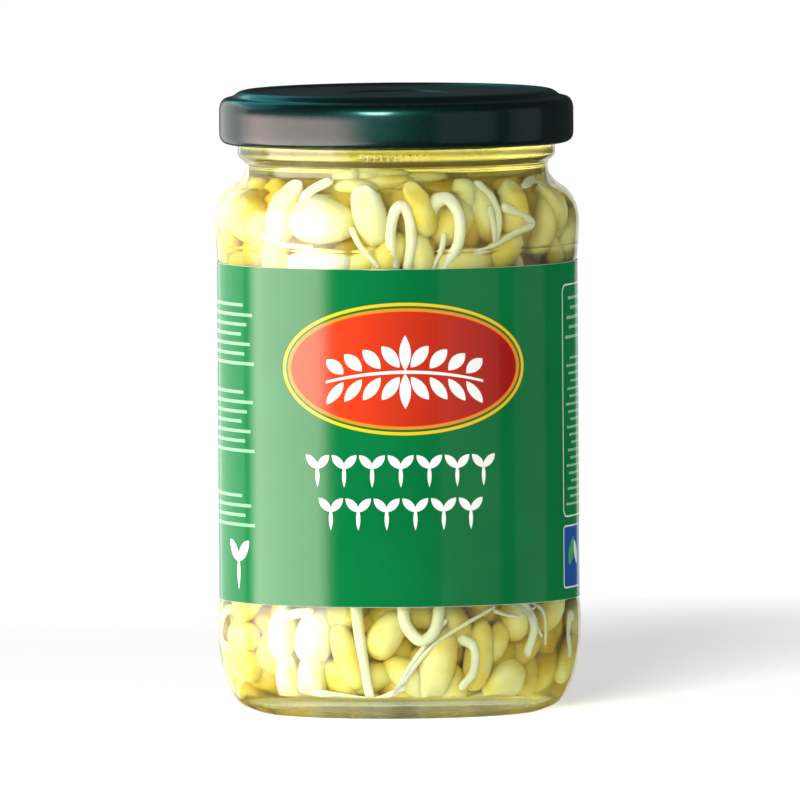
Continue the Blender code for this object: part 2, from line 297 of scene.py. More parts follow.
def turned(name, outline, materials, around=AROUND, closed=False, slot=None, reshape=None):
    """Turns an outline of (radius, height) round Z, running down its outer side.

    slot gives a face's material number from its place in the outline, and reshape moves a point
    from its (turn, radius, height)."""
    mesh = bmesh.new()
    rings = []
    for radius, level in outline:
        if radius < 1e-6:
            rings.append([mesh.verts.new((0, 0, level * MM))] * around)
            continue
        ring = []
        for n in range(around):
            turn = math.tau * n / around
            r, z = reshape(turn, radius, level) if reshape else (radius, level)
            ring.append(mesh.verts.new((r * math.cos(turn) * MM, r * math.sin(turn) * MM, z * MM)))
        rings.append(ring)
    for place in range(len(rings) if closed else len(rings) - 1):
        above, below = rings[place], rings[(place + 1) % len(rings)]
        for n in range(around):
            after = (n + 1) % around
            face = smooth_face(mesh, above[n], below[n], below[after], above[after])
            if face and slot:
                face.material_index = slot(place)
    data = bpy.data.meshes.new(name)
    mesh.to_mesh(data)
    mesh.free()
    return placed(name, data, *materials)


def clear_glass(name, ior, tint, roughness=0.0):
    """Clear glass that lamps shine through, so that what the jar holds is lit."""
    made, tree = new_material(name)
    glass = add(
        tree, "ShaderNodeBsdfPrincipled", Base_Color=linear(tint), Roughness=roughness, IOR=ior,
        Transmission_Weight=1.0,
    )
    through = add(tree, "ShaderNodeBsdfTransparent", Color=linear(tint))
    path = add(tree, "ShaderNodeLightPath")
    shadow = path.outputs["Is Shadow Ray"]
    mix = add(tree, "ShaderNodeMixShader", in_0=shadow, in_1=glass, in_2=through)
    add(tree, "ShaderNodeOutputMaterial", Surface=mix)
    return made


def lug_ramps(turn, radius, level):
    """Raises four sloping ramps from the outside of the finish ring."""
    ramps, first, last = 4, math.radians(18), math.radians(80)
    low, rise, half, height = 113.6, 1.8, 1.1, 1.2
    ring_radius, ring_low, end_slope = 30.9, 110, 8
    if radius < ring_radius or level < ring_low:
        return radius, level
    share = ((turn % (math.tau / ramps)) - first) / (last - first)
    if not 0 < share < 1:
        return radius, level
    off = (level - low - rise * share) / half
    ends = min(1.0, end_slope * share, end_slope * (1 - share))
    return radius + height * ends * max(0.0, 1 - off * off) ** 0.5, level


# A row of small upright ribs stands below the finish ring, at the front. Each is on one column of
# points, counted from the front, and has its own half height.
JAR_AROUND = 288
RIBS = {-10: 0.9, -8: 0.5, -6: 0.8, -4: 0.4, -2: 0.8, 0: 0.6, 2: 0.9, 4: 0.5, 6: 0.8, 8: 0.6}
RIB_LEVEL = 109.2
RIB_RISE = 0.03


def relief(turn, radius, level):
    """What stands out from the turned wall: the lug ramps and the ribs."""
    tall = RIBS.get(round((turn / math.tau - 0.75) * JAR_AROUND), 0.0)
    if radius > 29.9 and abs(level - RIB_LEVEL) < tall:
        radius += RIB_RISE * (1 - ((level - RIB_LEVEL) / tall) ** 2) ** 0.5
    return lug_ramps(turn, radius, level)


rim = curve([(28.9, 118.9), (29.9, 118.85), (30.8, 118.2), (31.0, 117.2)], 4)
finish = [(31.0, 117.0 - 0.25 * step) for step in range(30)]
bead = curve([(31.0, 109.4), (30.95, 108.7), (30.4, 108.0), (29.75, 107.5), (29.5, 106.7)], 4)
shoulder = curve([
    (29.5, 106.3), (29.8, 104.9), (31.2, 103.2), (33.3, 101.7), (34.85, 99.3), (35.5, 96.6),
    (35.5, 93.8), (35.3, 91.6),
], 6) + [(35.36, 91.4), (35.4, 91.25), (35.34, 91.1), (35.26, 90.9), (35.22, 90.0), (35.2, 88.9)]
panel = [(PANEL, 88.3), (PANEL, LABEL_HIGH), (PANEL, LABEL_LOW), (PANEL, 21.9)]
heel = curve([
    (35.2, 21.2), (35.4, 18.8), (35.45, 16.0), (35.2, 12.2), (34.6, 8.8), (33.4, 4.9),
    (31.6, 1.95), (29.6, 0.7), (27.6, 0.0),
], 6)
base = [(26.0, 0.0)] + curve([(25.2, 0.35), (24.0, 0.9), (17.0, 1.8), (8.0, 2.15)], 4)
base += [(3.0, 2.2), (0, 2.2)]
glass_outer = rim[2:] + finish + bead + shoulder + panel + heel + base
wet_floor = [(0, 4.6), (3.0, 4.6)] + curve([(8.0, 4.5), (16.0, 4.15), (24.0, 3.5), (27.6, 3.7)], 4)
wet_wall = wet_floor[:-1] + curve([
    (27.6, 3.7), (29.6, 4.7), (31.1, 6.9), (32.0, 10.5), (INNER, 16.0), (INNER, 22.0),
], 6)
wet_wall += curve([
    (INNER, 88.0), (32.7, 92.2), (32.8, 95.5), (32.0, 99.0), (30.2, 101.5), (28.4, 103.3),
    (BORE, 106.2), (BORE, 108.0),
], 6) + [(BORE, BRINE_LEVEL)]
dry_wall = [(BORE, 113.0), (BORE, 116.6)] + curve([(27.5, 117.6), (28.1, 118.6)], 3)
outline = glass_outer + wet_wall + dry_wall + rim[:2]
wet_from = len(glass_outer)
wet_to = len(glass_outer) + len(wet_wall) - 1

# A bump on the glass in air draws the ribs again with crisp edges, each about a column wide.
glass_air = clear_glass("soda_lime_glass", GLASS_IOR, "#f4faf4", 0.03)
glass_base = clear_glass("soda_lime_glass_stippled", GLASS_IOR, "#eef6e6", 0.3)
tree = glass_air.node_tree
place = add(tree, "ShaderNodeTexCoord")
parts = add(tree, "ShaderNodeSeparateXYZ", Vector=place.outputs["Object"])
turn = ("ARCTAN2", parts.outputs[0], ("MULTIPLY", parts.outputs[1], -1.0))
columns = ("MULTIPLY", turn, JAR_AROUND / math.tau)
half_column, half_height, half_row, soft, fall = 0.42, 0.7, 9.5, 0.15, -3.3
aside = ("SUBTRACT", ("ABSOLUTE", ("WRAP", columns, 1.0, -1.0)), half_column)
above = ("ABSOLUTE", ("MULTIPLY_ADD", parts.outputs[2], 1 / MM, -RIB_LEVEL))
row_end = ("SUBTRACT", ("ABSOLUTE", ("ADD", columns, 1.0)), half_row)
rib = ("MAXIMUM", ("MAXIMUM", aside, ("SUBTRACT", above, half_height)), row_end)
crisp = ("MULTIPLY_ADD", ("MINIMUM", ("MAXIMUM", rib, -soft), soft), fall, 0.5)
edges = add(tree, "ShaderNodeBump", Strength=1.0, Distance=0.0003, Height=crisp)
tree.links.new(edges.outputs[0], tree.nodes["Principled BSDF"].inputs["Normal"])
glass_wet = clear_glass("soda_lime_glass_wet", GLASS_IOR / BRINE_IOR, "#f6fbf6", 0.25)
base_from = len(glass_outer) - len(base) - 4


def glass_slot(place):
    """The material number of each stretch of the wall."""
    if base_from <= place < wet_from:
        return 2
    return 1 if wet_from <= place < wet_to else 0


glass_jar = turned(
    "jar_glass", outline, (glass_air, glass_wet, glass_base), around=JAR_AROUND, closed=True,
    slot=glass_slot, reshape=relief,
)
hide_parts("glass_jar")
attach(glass_jar, "jar")
aim_light(front, glass_jar, "EXCLUDE")
aim_light(glass_strip, glass_jar, "INCLUDE")


# The lid: pressed tinplate with a dark blue-green lacquer under a clear one. A flat panel with a
# safety button lies inside a raised rim, and a step, a skirt and a rolled edge follow it.
lid_top = [(0.0, 120.42), (9.2, 120.42)] + curve([(9.8, 120.5), (10.4, 120.74), (11.0, 120.8)], 3)
lid_top += [(26.6, 120.8)] + curve([
    (27.6, 120.82), (28.3, 121.05), (28.9, 121.26), (29.8, 121.3), (30.6, 121.12),
    (31.3, 120.72), (32.0, 120.22), (32.7, 119.98), (33.3, 119.86), (33.9, 119.5),
    (34.35, 118.8), (34.55, 118.0), (34.6, 117.0),
], 4) + [(34.6, 116.6), (34.6, 113.8)]
lid_edge = curve([
    (34.6, 113.4), (34.55, 112.6), (34.3, 111.8), (33.75, 111.25), (33.0, 111.0),
    (32.3, 111.12), (32.0, 111.6), (32.15, 112.15), (32.7, 112.45), (33.4, 112.4),
], 4)
lid_under = [(34.1, 113.2), (34.1, 117.2), (33.8, 118.5), (33.2, 119.2), (32.2, 119.6)]
lid_under += [(31.4, 120.3), (30.4, 120.75), (29.0, 120.75), (28.2, 120.3), (11.0, 120.3)]
lid_under += [(10.0, 119.95), (0.0, 119.95)]


def lug_press(turn, radius, level):
    """Presses the rolled edge in at four places, which makes the lugs."""
    lugs, half_width, depth = 4, math.radians(9), 0.75
    roll_top, roll_radius = 112.7, 33.2
    off = math.remainder(turn - math.pi / lugs, math.tau / lugs) / half_width
    if abs(off) >= 1 or level > roll_top or radius > roll_radius:
        return radius, level
    return radius - depth * min(1.0, 3 * (1 - abs(off))), level


def drift(tree, scale, low, high, low_colour, high_colour):
    """A colour that drifts between two from one place on the object to the next."""
    place = add(tree, "ShaderNodeTexCoord")
    noise = add(tree, "ShaderNodeTexNoise", Vector=place.outputs["Object"], Scale=scale, Detail=2.0)
    stops = ((low, low_colour), (high, high_colour))
    return add(tree, "ShaderNodeValToRGB", {"stops": stops}, Fac=noise)


def bumps(tree, scale, detail, strength, distance):
    """The normal of a surface with small bumps on it."""
    place = add(tree, "ShaderNodeTexCoord")
    noise = add(
        tree, "ShaderNodeTexNoise", Vector=place.outputs["Object"], Scale=scale, Detail=detail,
    )
    return add(tree, "ShaderNodeBump", Strength=strength, Distance=distance, Height=noise)


lid_finish, tree = new_material("lacquered_tinplate")
ripple = bumps(tree, 70.0, 2.0, 0.04, 0.0004)
lacquer = add(
    tree, "ShaderNodeBsdfPrincipled", Base_Color=drift(tree, 900.0, 0.3, 0.7, "#0c2a27", "#10312e"),
    Metallic=0.95, Roughness=0.42, Coat_Weight=0.7, Coat_Roughness=0.15, Coat_IOR=1.5,
    Normal=ripple, Coat_Normal=ripple,
)
add(tree, "ShaderNodeOutputMaterial", Surface=lacquer)
lid = turned("lid_shell", lid_top + lid_edge + lid_under, (lid_finish,), reshape=lug_press)
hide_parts("lid")
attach(lid, "lid_turning")
for lamp in (lid_lamp, lid_back_lamp, lid_key):
    aim_light(lamp, lid, "INCLUDE")
for lamp in (key, rim_light):
    aim_light(lamp, lid, "EXCLUDE")


# The seal: a ring of soft off-white compound, poured into the lid's channel, that the glass rim
# presses a shallow groove into.
seal_finish, tree = new_material("sealing_compound")
compound = add(
    tree, "ShaderNodeBsdfPrincipled", Base_Color=linear("#d9d4c6"), Roughness=0.5,
    Normal=bumps(tree, 1500.0, 3.0, 0.2, 0.0001),
)
add(tree, "ShaderNodeOutputMaterial", Surface=compound)
seal_section = curve([
    (29.7, 120.6), (30.6, 120.45), (31.0, 120.0), (30.9, 119.5), (30.4, 119.3), (29.5, 119.45),
    (28.7, 119.3), (28.3, 119.6), (28.4, 120.1), (28.9, 120.5),
], 3)
seal = turned("lid_seal_ring", seal_section, (seal_finish,), closed=True)
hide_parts("lid_seal")
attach(seal, "lid_turning")


# The label: one strip of coated paper, printed green and varnished, wrapped round and lapped at
# the back. Its cut edges show white. The print follows the strip, in millimetres from the front.
LABEL_INNER = 35.06
PAPER = 0.16
LAP_HALF = math.radians(6)

# The closed paper strip has rows close to its cut edges, which are eased a little, and a print
# map: U once round from the back, V up.
mesh = bmesh.new()
uv = mesh.loops.layers.uv.new("print")
around = 240
levels = [LABEL_LOW + step for step in (0, 0.05, 0.3)]
levels += [LABEL_HIGH - step for step in (0.3, 0.05, 0)]
ring_of = {}
for n in range(around):
    turn = math.tau * n / around
    off = math.remainder(turn - math.pi / 2, math.tau)
    lap = PAPER if -LAP_HALF < off < LAP_HALF else 0.0
    for side, radius in ((0, LABEL_INNER), (1, LABEL_INNER + PAPER + lap)):
        for row, level in enumerate(levels):
            ease = 0.03 if side and row in (0, 5) else 0.0
            r = (radius - ease) * MM
            ring_of[n, side, row] = mesh.verts.new((r * math.cos(turn), r * math.sin(turn), level * MM))
loop = [(1, row) for row in range(5, -1, -1)] + [(0, row) for row in range(6)]
for n in range(around):
    after = (n + 1) % around
    for here, there in zip(loop, loop[1:] + loop[:1]):
        face = mesh.faces.new((
            ring_of[n, *here], ring_of[n, *there], ring_of[after, *there],
            ring_of[after, *here],
        ))
        printed = here[0] == 1 and there[0] == 1 and 1 <= min(here[1], there[1]) <= 3
        face.material_index = 0 if printed else 1
        face.smooth = printed
        share = (n / around + 0.75) % 1.0
        places = (0, here), (0, there), (1, there), (1, here)
        for corner, (step, (_, row)) in zip(face.loops, places):
            high = (levels[row] - LABEL_LOW) / (LABEL_HIGH - LABEL_LOW)
            corner[uv].uv = (share + step / around, high)
label_mesh = bpy.data.meshes.new("label_paper")
mesh.to_mesh(label_mesh)
mesh.free()

label_finish, tree = new_material("varnished_label_print")


def inside(distance, soft=0.05):
    """1 where a distance in millimetres is below zero, 0 outside, with a soft edge."""
    return ("MULTIPLY_ADD", ("MINIMUM", ("MAXIMUM", distance, -soft), soft), -0.5 / soft, 0.5)


def oval(x, y, half_width, half_height):
    """Distance from an oval's edge, near enough close to it."""
    u = ("DIVIDE", ("SUBTRACT", across, x), half_width)
    v = ("DIVIDE", ("SUBTRACT", up, y), half_height)
    reach = ("SQRT", ("ADD", ("MULTIPLY", u, u), ("MULTIPLY", v, v)))
    return ("MULTIPLY", ("SUBTRACT", reach, 1.0), min(half_width, half_height))


def box(x, y, half_width, half_height, corner):
    """Distance from the edge of a rectangle with round corners."""
    u = ("SUBTRACT", ("ABSOLUTE", ("SUBTRACT", across, x)), half_width - corner)
    v = ("SUBTRACT", ("ABSOLUTE", ("SUBTRACT", up, y)), half_height - corner)
    u_out = ("MAXIMUM", u, 0.0)
    v_out = ("MAXIMUM", v, 0.0)
    outside = ("SQRT", ("ADD", ("MULTIPLY", u_out, u_out), ("MULTIPLY", v_out, v_out)))
    within = ("MINIMUM", ("MAXIMUM", u, v), 0.0)
    return ("SUBTRACT", ("ADD", outside, within), corner)


def band(distance, half):
    """Distance from the edge of a line drawn along another edge."""
    return ("SUBTRACT", ("ABSOLUTE", distance), half)


def over(below, colour, mask):
    """Lays one ink over what is below it."""
    mix = add(tree, "ShaderNodeMix", {"data_type": "RGBA"}, in_0=mask, in_6=below, in_7=colour)
    return mix.outputs[2]


def leaf(across, up, x, y, lean, length, width):
    """Distance from the edge of a pointed leaf, whose sides are two arcs."""
    sway, rise = math.cos(math.radians(lean)), math.sin(math.radians(lean))
    u = ("SUBTRACT", across, x)
    v = ("SUBTRACT", up, y)
    along = ("ADD", ("MULTIPLY", u, sway), ("MULTIPLY", v, rise))
    aside = ("SUBTRACT", ("MULTIPLY", v, sway), ("MULTIPLY", u, rise))
    arc = (length * length + width * width) / (4 * width)
    aside = ("ADD", ("ABSOLUTE", aside), arc - width / 2)
    reach = ("SQRT", ("ADD", ("MULTIPLY", along, along), ("MULTIPLY", aside, aside)))
    return ("SUBTRACT", reach, arc)


uv_map = add(tree, "ShaderNodeUVMap", {"uv_map": "print"})
parts = add(tree, "ShaderNodeSeparateXYZ", Vector=uv_map)
girth = math.tau * (LABEL_INNER + PAPER)
across = ("MULTIPLY", ("SUBTRACT", parts.outputs[0], 0.5), girth)
up = ("MULTIPLY_ADD", parts.outputs[1], LABEL_HIGH - LABEL_LOW, LABEL_LOW)
ink = drift(tree, 60.0, 0.35, 0.65, "#016c37", "#03723a")
white_ink = linear("#fbfaf4")
rule_ink = linear("#8fca9d")

# The badge: a red oval, darker to the right, with a yellow line and thin edges of green and
# orange round it, and a white sprig laid across it.
badge_x, badge_y = 1.4, 68.6
for colour, half_width, half_height in (
    ("#f3c41c", 25.6, 12.9), ("#02703a", 24.9, 12.3), ("#f08a1c", 24.4, 11.8),
):
    ink = over(ink, linear(colour), inside(oval(badge_x, badge_y, half_width, half_height)))
fade = ("MULTIPLY_ADD", ("SUBTRACT", across, badge_x), -0.02, 0.5)
red = add(tree, "ShaderNodeValToRGB", {"stops": ((0.0, "#9c1214"), (1.0, "#e2451c"))}, Fac=fade)
ink = over(ink, red, inside(oval(badge_x, badge_y, 23.6, 11.2)))

# The sprig is one quarter mirrored twice: a midrib, a leaf in each cell along it, and a long leaf
# in the middle. It droops to both sides.
cell, sprig_half = 3.7, 15.8
beside = ("ABSOLUTE", ("SUBTRACT", across, badge_x))
droop = ("MULTIPLY", ("MULTIPLY", beside, beside), 0.008)
above = ("ADD", ("SUBTRACT", up, badge_y - 0.6), droop)
above = ("MULTIPLY", ("ABSOLUTE", above), ("MULTIPLY_ADD", beside, 0.018, 0.94))
in_cell = ("SUBTRACT", ("WRAP", ("SUBTRACT", beside, 1.0), cell, 0.0), cell / 2)
leaves = ("MAXIMUM", leaf(in_cell, above, 0.0, 3.1, 52, 5.6, 2.3), ("SUBTRACT", 1.0, beside))
leaves = ("MINIMUM", leaves, leaf(beside, above, 0.0, 3.5, 90, 6.4, 2.2))
leaves = ("MINIMUM", leaves, ("SUBTRACT", above, 0.3))
leaves = ("MAXIMUM", leaves, ("SUBTRACT", beside, sprig_half))
ink = over(ink, white_ink, inside(leaves))

# Under the badge, two rows of small seedlings, each two leaves on a short stem, and a large one
# at the side.
for level, half_row, shift in ((49.0, 19.6, 0.0), (40.6, 16.8, 2.8)):
    beside = ("SUBTRACT", across, 0.4)
    in_cell = ("ABSOLUTE", ("SUBTRACT", ("WRAP", ("ADD", beside, shift + 2.8), 5.6, 0.0), 2.8))
    seedling = (
        "MINIMUM", leaf(in_cell, up, 1.2, level + 1.5, 45, 3.7, 1.6),
        leaf(in_cell, up, 0.0, level - 1.2, 90, 4.4, 0.8),
    )
    seedling = ("MAXIMUM", seedling, ("SUBTRACT", ("ABSOLUTE", beside), half_row))
    ink = over(ink, white_ink, inside(seedling))
beside = ("ABSOLUTE", ("ADD", across, 38.5))
seedling = (
    "MINIMUM", leaf(beside, up, 1.9, 32.4, 45, 5.8, 2.5), leaf(beside, up, 0.0, 28.2, 90, 6.8, 1.2),
)
ink = over(ink, white_ink, inside(seedling))


def ruled_block(ink, x, half_width, low, rules, pitch=1.9, half_line=0.3):
    """A block of thin rules of uneven length."""
    high = low + rules * pitch
    steps = ("DIVIDE", ("SUBTRACT", up, low), pitch)
    row = ("FLOOR", steps)
    off = ("ABSOLUTE", ("SUBTRACT", ("FRACT", steps), 0.5))
    line = ("SUBTRACT", ("MULTIPLY", off, pitch), half_line)
    short = ("MULTIPLY", ("FRACT", ("MULTIPLY", row, 0.618)), 0.3 * half_width)
    sides = ("SUBTRACT", ("ABSOLUTE", ("SUBTRACT", across, x)), ("SUBTRACT", half_width, short))
    ends = ("SUBTRACT", ("ABSOLUTE", ("SUBTRACT", up, (high + low) / 2)), (high - low) / 2)
    return over(ink, rule_ink, inside(("MAXIMUM", ("MAXIMUM", line, sides), ends)))


# At the left three blocks of rules, at the right two framed panels of them and a blue box.
half_frame = 0.14
for low, rules in ((68.0, 7), (51.0, 7), (36.5, 4)):
    ink = ruled_block(ink, -50.0, 17.5, low, rules)
for x in (53.0, 84.0):
    ink = over(ink, white_ink, inside(band(box(x, 61.0, 12.6, 22.6, 1.6), half_frame)))
    ink = ruled_block(ink, x, 11.2, 72.4, 5)
    ink = ruled_block(ink, x, 11.2, 40.0, 20, 1.5, 0.24)
blue_box = box(45.8, 30.5, 5.4, 6.0, 0.8)
ink = over(ink, linear("#1b4f9c"), inside(blue_box))
ink = over(ink, white_ink, inside(band(blue_box, half_frame)))
ink = over(ink, linear("#3fa65a"), inside(leaf(across, up, 44.6, 31.6, 60, 6.4, 3.0)))
ink = over(ink, white_ink, inside(leaf(across, up, 47.6, 31.2, 115, 5.4, 2.2)))

# The varnish follows the fibres of the paper and its slight cockling.
place = add(tree, "ShaderNodeTexCoord")
fibre = add(tree, "ShaderNodeTexNoise", Vector=place.outputs["Object"], Scale=400.0, Detail=3.0)
cockle = add(tree, "ShaderNodeTexNoise", Vector=place.outputs["Object"], Scale=45.0, Detail=1.0)
paper_height = ("MULTIPLY_ADD", cockle, 4.0, fibre)
paper_bump = add(tree, "ShaderNodeBump", Strength=0.12, Distance=0.0001, Height=paper_height)
varnish = add(
    tree, "ShaderNodeBsdfPrincipled", Base_Color=ink, Roughness=0.6,
    Specular_IOR_Level=0.0, Coat_Weight=0.85, Coat_Roughness=0.13, Coat_IOR=1.5,
    Normal=paper_bump,
)
add(tree, "ShaderNodeOutputMaterial", Surface=varnish)

paper_finish, tree = new_material("bare_label_paper")
paper = add(
    tree, "ShaderNodeBsdfPrincipled", Base_Color=linear("#eef0e2"), Roughness=0.8,
    Normal=bumps(tree, 900.0, 4.0, 0.3, 0.00005),
)
add(tree, "ShaderNodeOutputMaterial", Surface=paper)
label = placed("label_paper", label_mesh, label_finish, paper_finish)
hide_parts("label")
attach(label, "jar")


# The brine: clear straw-yellow liquid that fills the jar to its level in the neck. It takes blue
# out of the light over a few centimetres. The wet faces of the glass bend light for its sides, so
# that of its own faces only the top does.
brine_side, tree = new_material("brine_against_glass")
through = add(tree, "ShaderNodeBsdfTransparent", Color=(1, 1, 1, 1))
depth = add(tree, "ShaderNodeVolumeAbsorption", Color=(0.93, 0.82, 0.0, 1.0), Density=43.0)
cloud = add(
    tree, "ShaderNodeVolumeScatter", Color=(1.0, 1.0, 1.0, 1.0), Density=9.0, Anisotropy=0.5,
)
both = add(tree, "ShaderNodeAddShader", in_0=depth, in_1=cloud)
add(tree, "ShaderNodeOutputMaterial", Surface=through, Volume=both)
brine_surface = clear_glass("brine_surface", BRINE_IOR, "#fffdf2")
CLEAR = 0.04          # the gap that is left between the brine and the glass
brine_outline = [(0.0, BRINE_LEVEL), (BORE - 1.2, BRINE_LEVEL), (BORE - 0.5, BRINE_LEVEL + 0.12)]
brine_outline += [(BORE - CLEAR, BRINE_LEVEL + 0.5)]
surface_rows = len(brine_outline) - 1
for radius, level in wet_wall[:0:-1]:
    brine_outline.append((radius - CLEAR, level + (CLEAR if level < 10 else 0.0)))
brine_outline.append((0.0, wet_floor[0][1] + CLEAR))
brine = turned(
    "brine_liquid", brine_outline, (brine_side, brine_surface),
    slot=lambda place: 1 if place < surface_rows else 0,
)
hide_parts("brine")
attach(brine, "jar")


# The sprouts: pickled mung bean sprouts, in three tiers. Each is a fat pair of cream seed leaves,
# many have a white stem that hooks round, and thin roots lie at the front. Their flesh lets light in.
def sprout_flesh(name, pale, deep, scale):
    """Moist flesh, its colour drifting from one place to the next."""
    made, tree = new_material(name)
    flesh = add(
        tree, "ShaderNodeBsdfPrincipled", Base_Color=drift(tree, scale, 0.36, 0.62, deep, pale),
        Roughness=0.45, Subsurface_Weight=0.5, Subsurface_Radius=(1.0, 0.9, 0.45),
        Subsurface_Scale=0.0022, Specular_IOR_Level=0.2,
        Normal=bumps(tree, 900.0, 3.0, 0.25, 0.0001),
    )
    add(tree, "ShaderNodeOutputMaterial", Surface=flesh)
    return made


leaf_flesh = sprout_flesh("seed_leaf_flesh", "#fdf1ac", "#f0d660", 110.0)
# The pale copy is painted highlight: a lighter flesh for the pairs at the front left, where the key
# light falls.
pale_flesh = sprout_flesh("seed_leaf_flesh_pale", "#fffbe4", "#fbf0b4", 110.0)
# The deep copy, darker and more golden, is painted shade for the pairs deeper in the pile.
deep_flesh = sprout_flesh("seed_leaf_flesh_deep", "#f3dc78", "#e6c244", 110.0)
stem_flesh = sprout_flesh("stem_flesh", "#fffae0", "#f8f0c8", 120.0)
# The packed copy, darker still, is painted shade for the middle of each tier.
core_flesh = sprout_flesh("packed_flesh", "#f3dc74", "#e0bc3a", 140.0)

OUTER_GLASS = 35.3    # the outer radius where sprouts show
CONTACT = 0.12        # the gap that is left between the sprouts and the glass
PAIR_LENGTH = 10
PAIR_WIDTH = 5


def seen_at(across_mm, radius):
    """Azimuth right of the front at which something in the brine shows at a place across the jar."""
    entry = math.asin(across_mm / OUTER_GLASS)
    in_glass = math.asin(across_mm / (GLASS_IOR * OUTER_GLASS))
    at_wall = math.asin(across_mm / (GLASS_IOR * INNER))
    in_brine = math.asin(across_mm / (BRINE_IOR * INNER))
    at_depth = math.asin(max(-1.0, min(1.0, across_mm / (BRINE_IOR * radius))))
    return entry - (at_wall - in_glass) - (at_depth - in_brine)


def lying(azimuth, lean, dip=0.0):
    """The directions along and out of a sprout that leans up from level and dips outward."""
    out = spot(azimuth, 1.0, 0.0)
    right = Vector((math.cos(azimuth), math.sin(azimuth), 0))
    along = right * math.cos(lean) + Vector((0, 0, 1)) * math.sin(lean)
    return (along * math.cos(dip) + out * math.sin(dip)).normalized(), out


class Pile:
    """Gathers seed leaves and stems, which are then made for the whole tier at once."""

    def __init__(self):
        self.beans = []
        self.stems = []

    def bean(self, centre, long_axis, out_axis, length, width):
        """Seed leaves that lie along one direction and bow toward another."""
        out_axis = (out_axis - long_axis * out_axis.dot(long_axis)).normalized()
        side = out_axis.cross(long_axis)
        turn = Matrix((long_axis, side, out_axis)).transposed().to_euler()
        size = Vector((length / PAIR_LENGTH, width / PAIR_WIDTH, width / PAIR_WIDTH))
        self.beans.append((centre, turn, size))

    def stem(self, points, thick_start, thick_end):
        """A stem along a smooth line, with each end rounded off over three more points."""
        path = curve(points, 5)
        last = len(path) - 1
        radii = [
            (thick_start + (thick_end - thick_start) * (n / last)) / 2 for n in range(last + 1)
        ]
        for _ in range(2):
            tip = path[-1]
            thick = radii[-1]
            inward = (path[-2] - tip).normalized()
            for back, part in ((0.35, 0.92), (0.7, 0.65), (0.9, 0.3)):
                path.append(tip - inward * thick * back)
                radii.append(thick * part)
            path.reverse()
            radii.reverse()
        self.stems.append((path, radii))

    def lay_front(self, beans, stems=()):
        """Adds sprouts by where they show through the front of the jar."""
        for x, level, lean, length, width, radius in beans:
            azimuth = seen_at(x, radius)
            long_axis, out = lying(azimuth, math.radians(lean))
            self.bean(spot(azimuth, radius, level), long_axis, out, length, width)
        for places, thick_start, thick_end in stems:
            points = [spot(seen_at(x, radius), radius, level) for x, level, radius in places]
            self.stem(points, thick_start, thick_end)


# The pattern for all seed leaves: a plump pair, bowed, with the cleft between the two.
mesh = bmesh.new()
around, rows = 16, 10
cleft_depth, cleft_half, bow_rise = 0.3, 0.3, 1.0
rings = []
for row in range(rows + 1):
    angle = math.pi * row / rows
    along = -PAIR_LENGTH / 2 * math.cos(angle)
    thick = math.sin(angle) ** 0.75 * (1.0 + 0.12 * math.cos(angle))
    bow = bow_rise * math.sin(angle) - bow_rise / 2
    if row in (0, rows):
        rings.append([mesh.verts.new(Vector((along, 0, bow)) * MM)] * around)
        continue
    ring = []
    for n in range(around):
        turn = math.tau * n / around
        off = math.remainder(turn + math.pi / 2, math.tau) / cleft_half
        reach = (PAIR_WIDTH / 2 - cleft_depth * math.exp(-off ** 2)) * thick
        point = Vector((along, reach * math.cos(turn), reach * math.sin(turn) + bow))
        ring.append(mesh.verts.new(point * MM))
    rings.append(ring)
for above, below in zip(rings, rings[1:]):
    for n in range(around):
        after = (n + 1) % around
        smooth_face(mesh, above[n], above[after], below[after], below[n])
bmesh.ops.recalc_face_normals(mesh, faces=mesh.faces)
pair_mesh = bpy.data.meshes.new("seed_leaf_pair")
mesh.to_mesh(pair_mesh)
mesh.free()
leaf_pair = placed("seed_leaf_pair", pair_mesh)


def new_tree(name, socket, kind):
    """A geometry tree with its input and output nodes, one named input and one for the flesh."""
    tree = bpy.data.node_groups.new(name, "GeometryNodeTree")
    tree.interface.new_socket("Geometry", in_out="OUTPUT", socket_type="NodeSocketGeometry")
    for name, kind in (
        ("Geometry", "NodeSocketGeometry"), (socket, kind), ("Flesh", "NodeSocketMaterial"),
    ):
        tree.interface.new_socket(name, in_out="INPUT", socket_type=kind)
    return tree, tree.nodes.new("NodeGroupInput"), tree.nodes.new("NodeGroupOutput")


